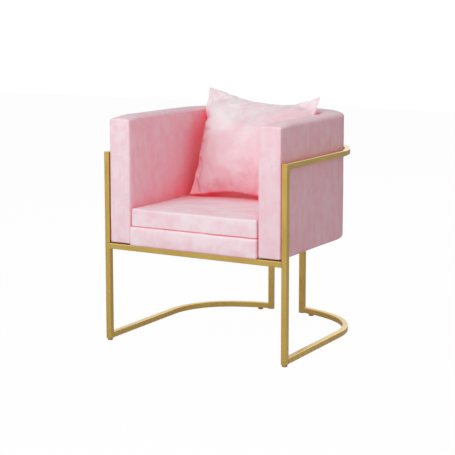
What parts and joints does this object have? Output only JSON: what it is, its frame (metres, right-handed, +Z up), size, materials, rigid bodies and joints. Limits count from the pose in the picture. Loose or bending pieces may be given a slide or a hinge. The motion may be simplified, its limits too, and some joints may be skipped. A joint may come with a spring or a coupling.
{
  "type": "upholstered armchair",
  "caption": "Upholstered armchair: a padded U-shaped wall of arms and back, a layered seat and a throw pillow, carried in a bent square-tube frame.",
  "frame": {"origin": "on the floor, under the middle of the chair's width and depth", "axes": "+X to the sitter's left, -Y out of the front, +Z up"},
  "size_m": [0.68, 0.6834, 0.8228],
  "materials": {
    "gold_frame": "satin",
    "black_plastic": "matte",
    "steel": "zinc plated",
    "plywood": "sanded",
    "fibreboard": "raw",
    "foam": "open cell foam",
    "velvet": "velvet pile",
    "webbing": "woven",
    "dust_cloth": "non-woven",
    "zip": "matte"
  },
  "bodies": {
    "chair": {"front_leg_left": "gold_frame", "front_leg_right": "gold_frame", "front_rail": "gold_frame", "back_hoop": "gold_frame", "floor_rail_left": "gold_frame", "floor_rail_right": "gold_frame", "rear_leg_left": "gold_frame", "rear_leg_right": "gold_frame", "front_tabs": "gold_frame", "front_glides": "black_plastic", "rear_glides": "black_plastic", "rear_leg_caps": "black_plastic", "bolt_spacers": "black_plastic", "tab_screws": "steel", "shell_bolts": "steel", "tee_nuts": "steel", "seat_screws": "steel", "lower_ring": "plywood", "upper_ring": "plywood", "wall_posts": "plywood", "seat_frame": "plywood", "outer_board": "fibreboard", "inner_foam": "foam", "top_foam": "foam", "arm_pads": "foam", "seat_base_foam": "foam", "outside_cover": "velvet", "inside_cover": "velvet", "top_cover": "velvet", "arm_front_left": "velvet", "arm_front_right": "velvet", "seat_base_cover": "velvet", "seat_webbing": "webbing", "dust_cover": "dust_cloth"},
    "seat_cushion": {"seat_cushion_core": "foam", "seat_cushion_cover": "velvet", "seat_cushion_zip": "zip"},
    "throw_pillow": {"pillow_insert": "foam", "pillow_cover": "velvet", "pillow_zip": "zip"}
  },
  "joints": [
    {"name": "seat_cushion_lift", "type": "slide", "parent": "chair", "child": "seat_cushion", "axis": [0, 0, 1], "range_m": [0, 0.12]},
    {"name": "throw_pillow_lift", "type": "slide", "parent": "seat_cushion", "child": "throw_pillow", "axis": [0, 0, 1], "range_m": [0, 0.25]}
  ]
}
